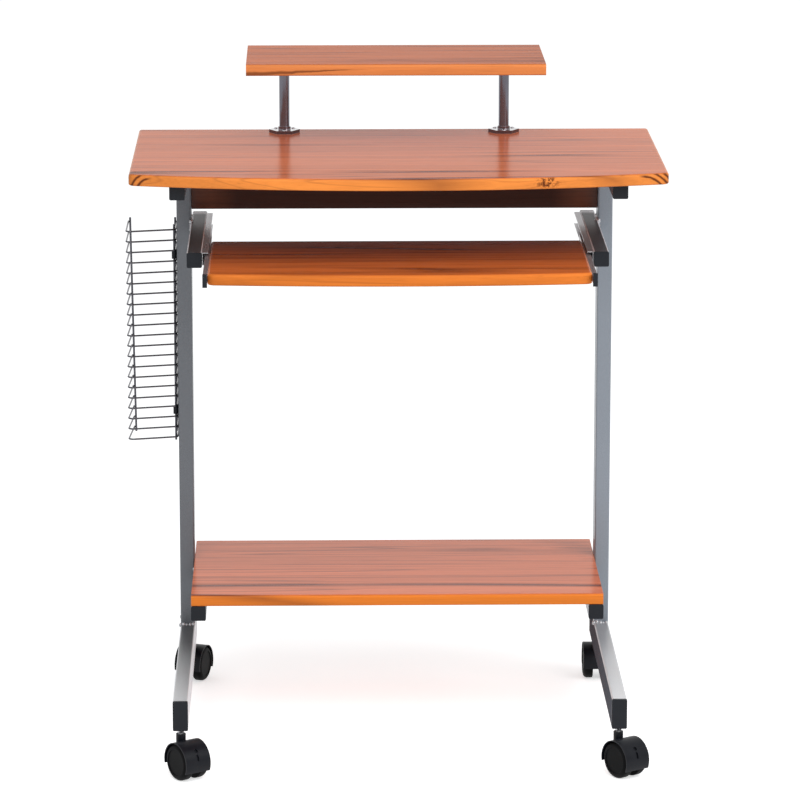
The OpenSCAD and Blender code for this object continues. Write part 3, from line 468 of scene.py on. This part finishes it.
BOARDS = {"desktop": top_wood, "monitor_shelf": shelf_wood, "bottom_shelf": bottom_wood,
          "keyboard_tray": tray_wood, "modesty_panel": panel_wood}
FLANGES = {side + level + "_flange": flange_plate
           for side in ("left_", "right_") for level in ("lower", "upper")}
TUBES = {"left_tray_arm": arm_paint, "right_tray_arm": arm_paint,
         "left_foot": left_foot_paint, "right_foot": right_foot_paint}
WHEELS = {end + side + "_wheel_" + letter: wheel_plastic for end in ("front_", "rear_")
          for side in ("left", "right") for letter in "ab"}
NODE_MATERIALS = {**BOARDS, **FLANGES, **TUBES, **WHEELS}
SLOT_MATERIALS = {"silver_paint": silver, "chrome_posts": chrome, "rack_wire": wire_plate,
                  "zinc_slides": zinc, "zinc_fasteners": fastener,
                  "black_plastic": cap_plastic, "caster_plastic": caster_plastic}


def dress(node, material):
    data = nodes[node].data
    data.materials.clear()
    data.materials.append(material)


for part in frame["record"]["subparts"]:
    own_material = NODE_MATERIALS.get(part["node"])
    dress(part["node"], own_material or SLOT_MATERIALS[part["material_slot"]])


# Pieces of mesh code

def new_mesh(name, bm):
    mesh = bpy.data.meshes.new(name)
    bm.to_mesh(mesh)
    bm.free()
    return mesh


def new_piece(name, mesh, body, material):
    mesh.materials.clear()
    mesh.materials.append(material)
    piece = bpy.data.objects.new(name, mesh)
    bpy.context.collection.objects.link(piece)
    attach(piece, body)
    return piece


def smooth_by_angle(mesh, degrees=35.0):
    for face in mesh.polygons:
        face.use_smooth = True
    mesh.set_sharp_from_angle(angle=math.radians(degrees))


# Weld beads

BEAD_R = 0.0034
BEAD_STEP = 0.0042
BEAD_SIZES = (0.7, 1.15)
BEAD_SWAY = 0.25
BEAD_FLATNESS = 0.8


def bead(bm, start, end):
    """A row of overlapping scales along a line, as a welding torch leaves them."""
    start, end = Vector(start), Vector(end)
    way = end - start
    turn = way.to_track_quat("Z", "Y").to_matrix().to_4x4()
    for i in range(int(way.length / BEAD_STEP) + 1):
        at = start + way * min(1.0, i * BEAD_STEP / way.length)
        size = BEAD_R * random.uniform(*BEAD_SIZES)
        sway = Vector([random.uniform(-BEAD_SWAY, BEAD_SWAY) * BEAD_R for _ in range(3)])
        sizes = Matrix.Diagonal((size, size, size * BEAD_FLATNESS, 1.0))
        bmesh.ops.create_icosphere(bm, subdivisions=2, radius=1.0,
                                   matrix=Matrix.Translation(at + sway) @ turn @ sizes)


def weld_lines():
    """Where the tubes of the side frames meet at an inner corner."""
    lines = []
    for side, inner in (("left_", 1), ("right_", 0)):
        low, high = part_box(side + "upright")
        corner_x = (low[0], high[0])[inner]
        for y in (low[1], high[1]):
            for z in (low[2], high[2]):
                lines.append(((low[0], y, z), (high[0], y, z)))
        for arm in ("tray_arm", "shelf_arm"):
            under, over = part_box(side + arm)
            for z in (under[2], over[2]):
                lines.append(((corner_x, low[1], z), (corner_x, high[1], z)))
            for y in (low[1], high[1]):
                lines.append(((corner_x, y, under[2]), (corner_x, y, over[2])))
    return lines


def make_welds():
    bm = bmesh.new()
    for start, end in weld_lines():
        bead(bm, start, end)
    mesh = new_mesh("weld_beads", bm)
    smooth_by_angle(mesh, 60.0)
    new_piece("weld_beads", mesh, "frame", bead_paint)


# Screws with domed heads and a cross recess, in the places of the CAD's

SCREW_NODES = {"rack_clip_screws": "frame", "desktop_screws": "frame",
               "bottom_shelf_screws": "frame", "panel_bolts": "frame", "flange_screws": "frame",
               "arm_rail_screws": "frame", "tray_rail_screws": "tray"}
# The head's outline from its top down, as shares of its radius and height
HEAD_SHAPE = ((0.0, 1.0), (0.35, 0.97), (0.62, 0.84), (0.84, 0.60), (0.96, 0.34), (1.0, 0.12),
              (1.0, 0.0))
AROUND = 36
TIP_SHARE = 0.4
# The recess as shares of the head's radius and height, its floor as shares of its mouth
CROSS_L, CROSS_W, CROSS_DEPTH, CUTTER_TOP = 0.58, 0.13, 0.62, 1.4
CROSS_FLOOR_L, CROSS_FLOOR_W = 0.45, 0.7
SAME_PLACE = 1e-6
OFF_AXIS = 1e-5
RIM_SHARE = 0.95


def lathe(bm, outline):
    """A closed body turned about Z from (radius, height) points that begin and end on Z."""
    turns = [2.0 * math.pi * i / AROUND for i in range(AROUND)]
    circles = []
    for radius, height in outline:
        if radius == 0.0:
            circles.append([bm.verts.new((0.0, 0.0, height))])
            continue
        circles.append([bm.verts.new((radius * math.cos(t), radius * math.sin(t), height))
                        for t in turns])
    for above, below in zip(circles, circles[1:]):
        for i in range(AROUND):
            j = (i + 1) % AROUND
            corners = [above[i % len(above)], above[j % len(above)],
                       below[j % len(below)], below[i % len(below)]]
            bm.faces.new(list(dict.fromkeys(corners)))
    bmesh.ops.recalc_face_normals(bm, faces=bm.faces)


def cross_cutter(radius, height):
    """Two crossed wedges that cut the recess in a head."""
    bm = bmesh.new()
    for turn in (0.0, math.pi / 2):
        made = bmesh.ops.create_cube(bm, size=2.0)["verts"]
        for vert in made:
            sink = vert.co.z < 0
            vert.co.x *= radius * CROSS_L * (CROSS_FLOOR_L if sink else 1.0)
            vert.co.y *= radius * CROSS_W * (CROSS_FLOOR_W if sink else 1.0)
            vert.co.z = height * (1.0 - CROSS_DEPTH) if sink else height * CUTTER_TOP
        bmesh.ops.rotate(bm, verts=made, cent=(0, 0, 0), matrix=Matrix.Rotation(turn, 3, "Z"))
    return new_mesh("cutter", bm)


def screw_mesh(head_r, head_h, shank_r, length):
    """A screw whose head's underside is at the origin, with its head along +Z."""
    bm = bmesh.new()
    head = [(radius * head_r, height * head_h) for radius, height in HEAD_SHAPE]
    shank = [(shank_r, 0.0), (shank_r, -length + shank_r), (shank_r * TIP_SHARE, -length),
             (0.0, -length)]
    lathe(bm, head + shank)
    body = bpy.data.objects.new("screw", new_mesh("screw", bm))
    cutter = bpy.data.objects.new("cutter", cross_cutter(head_r, head_h))
    for thing in (body, cutter):
        bpy.context.collection.objects.link(thing)
    cut = body.modifiers.new("recess", "BOOLEAN")
    cut.operation, cut.solver, cut.object, cut.use_self = "DIFFERENCE", "EXACT", cutter, True
    view = bpy.context.evaluated_depsgraph_get()
    done = bpy.data.meshes.new_from_object(body.evaluated_get(view))
    for thing in (body, cutter):
        bpy.data.objects.remove(thing)
    return done


def loose_parts(mesh):
    """The places of the vertices of each unconnected part, in the same order each run."""
    bm = bmesh.new()
    bm.from_mesh(mesh)
    bmesh.ops.remove_doubles(bm, verts=bm.verts, dist=SAME_PLACE)
    left = set(bm.verts)
    parts = []
    while left:
        reached, edge = set(), [left.pop()]
        while edge:
            vert = edge.pop()
            reached.add(vert)
            near = {e.other_vert(vert) for e in vert.link_edges} & left
            left -= near
            edge.extend(near)
        parts.append(sorted(tuple(vert.co) for vert in reached))
    bm.free()
    return sorted(parts)


def screw_facts(points):
    """Direction, place, head radius and height, shank radius and length of a CAD screw.

    The place is the middle of the head's underside; the direction goes from it to the top.
    """
    low = [min(p[i] for p in points) for i in range(3)]
    high = [max(p[i] for p in points) for i in range(3)]
    axis = max(range(3), key=lambda i: high[i] - low[i])
    middle = [(low[i] + high[i]) / 2 for i in range(3)]
    reach = {i: Vector([p[k] - middle[k] for k in range(3) if k != axis]).length
             for i, p in enumerate(points)}
    head_r = max(reach.values())
    shank_r = min(r for r in reach.values() if r > OFF_AXIS)
    wide = [points[i][axis] for i, r in reach.items() if r > RIM_SHARE * head_r]
    toward = 1.0 if max(wide) > high[axis] - SAME_PLACE else -1.0
    under = min(wide) if toward > 0 else max(wide)
    tip = low[axis] if toward > 0 else high[axis]
    middle[axis] = under
    direction = Vector([toward if i == axis else 0.0 for i in range(3)])
    return direction, Vector(middle), head_r, max(wide) - min(wide), shank_r, abs(tip - under)


def make_screws(node, body):
    total = bmesh.new()
    made = {}
    for points in loose_parts(nodes[node].data):
        way, at, *sizes = screw_facts(points)
        key = tuple(round(size, 5) for size in sizes)
        made[key] = made.get(key) or screw_mesh(*key)
        turn = way.to_track_quat("Z", "Y").to_matrix().to_4x4()
        spin = Matrix.Rotation(random.uniform(0.0, math.pi), 4, "Z")
        one = made[key].copy()
        one.transform(Matrix.Translation(at) @ turn @ spin)
        total.from_mesh(one)
    mesh = new_mesh(node + "_crossed", total)
    smooth_by_angle(mesh)
    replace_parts(new_piece(node + "_crossed", mesh, body, fastener), node)


make_welds()
for screw_node, carrier in SCREW_NODES.items():
    make_screws(screw_node, carrier)


# Floor, lights and camera

WHITE = (1.0, 1.0, 1.0, 1.0)
FLOOR_COLOR, FLOOR_GLOW, FLOOR_R, FLOOR_SIDES = (0.88, 0.9, 0.91, 1.0), 0.57, 40.0, 96
WORLD_LIGHT, WORLD_SEEN = 0.5, 1.0
# Name, place, aim, the disc's width and its watts
LAMPS = (("key", (-0.5, -3.0, 3.2), (0.0, 0.0, 0.45), 3.0, 72.0),
         ("fill", (1.9, -2.1, 2.3), (0.1, 0.0, 0.5), 2.4, 52.0))
LENS = 199.03
CAMERA_AT = (-0.10279, -5.80284, 1.73736)
PITCH, ROLL, YAW = 0.21734, -0.00038, 0.01988


def make_floor():
    g = material_graph("floor_white")
    lit = g.add("BsdfDiffuse", {"Color": FLOOR_COLOR}).outputs[0]
    glow = g.add("Emission", {"Color": WHITE, "Strength": g.times(g.seen(), FLOOR_GLOW)})
    white = g.show(g.add("AddShader", {0: lit, 1: glow.outputs[0]}))
    bpy.ops.mesh.primitive_circle_add(vertices=FLOOR_SIDES, radius=FLOOR_R, fill_type="NGON")
    floor = bpy.context.object
    floor.name = "floor"
    floor.data.materials.append(white)


def make_world():
    g = Graph(bpy.data.worlds.new("studio"), "OutputWorld")
    level = g.span(g.seen(), 0.0, 1.0, WORLD_LIGHT, WORLD_SEEN)
    bpy.context.scene.world = g.show(g.add("Background", {"Color": WHITE, "Strength": level}))


def make_lamp(name, at, aim, size, power):
    data = bpy.data.lights.new(name, "AREA")
    data.shape = "DISK"
    data.size = size
    data.energy = power
    lamp = bpy.data.objects.new(name, data)
    bpy.context.collection.objects.link(lamp)
    lamp.location = at
    lamp.rotation_euler = (Vector(aim) - Vector(at)).to_track_quat("-Z", "Y").to_euler()


def make_camera():
    data = bpy.data.cameras.new("camera")
    data.lens = LENS
    camera = bpy.data.objects.new("camera", data)
    bpy.context.collection.objects.link(camera)
    camera.location = CAMERA_AT
    camera.rotation_euler = (math.pi / 2 - PITCH, ROLL, -YAW)
    bpy.context.scene.camera = camera


make_floor()
make_world()
for lamp_facts in LAMPS:
    make_lamp(*lamp_facts)
make_camera()
bpy.context.scene.view_settings.view_transform = "Standard"
